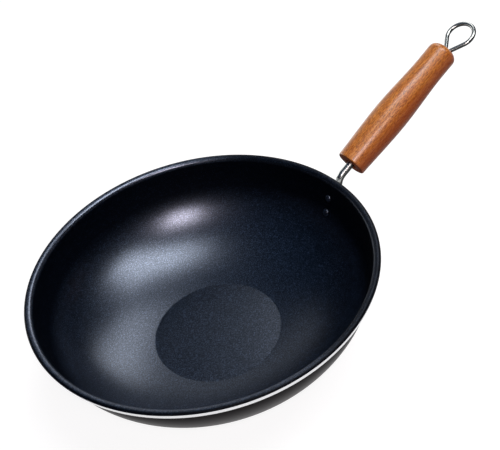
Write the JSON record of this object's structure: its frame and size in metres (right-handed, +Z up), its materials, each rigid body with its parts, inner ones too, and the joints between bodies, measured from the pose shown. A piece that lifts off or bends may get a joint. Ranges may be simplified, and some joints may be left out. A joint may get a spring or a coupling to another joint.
{
  "type": "nonstick wok",
  "caption": "Round-sided steel wok with a flat base, nonstick inside, folded bright edge, riveted bent steel stem, turned wooden grip and a wire hanging loop.",
  "frame": {"origin": "middle of the underside of the flat base, where the wok stands", "axes": "+X from the bowl's axis along the handle, +Z up out of the bowl, +Y to the left of the handle seen from the bowl"},
  "size_m": [0.4853, 0.305, 0.1584],
  "materials": {
    "nonstick_steel": "satin nonstick coating with a fine metallic grain",
    "bracket_steel": "plain plated",
    "bright_steel": "bright plated",
    "rivet_steel": "dark coated",
    "wood": "stained and varnished"
  },
  "bodies": {
    "root": {"wok_bowl": "nonstick_steel", "handle_bracket": "bracket_steel", "handle_stem": "bright_steel", "rivet_upper": "rivet_steel", "rivet_lower": "rivet_steel", "grip": "wood", "loop_ferrule": "bright_steel", "hanging_loop": "bright_steel"}
  },
  "joints": []
}
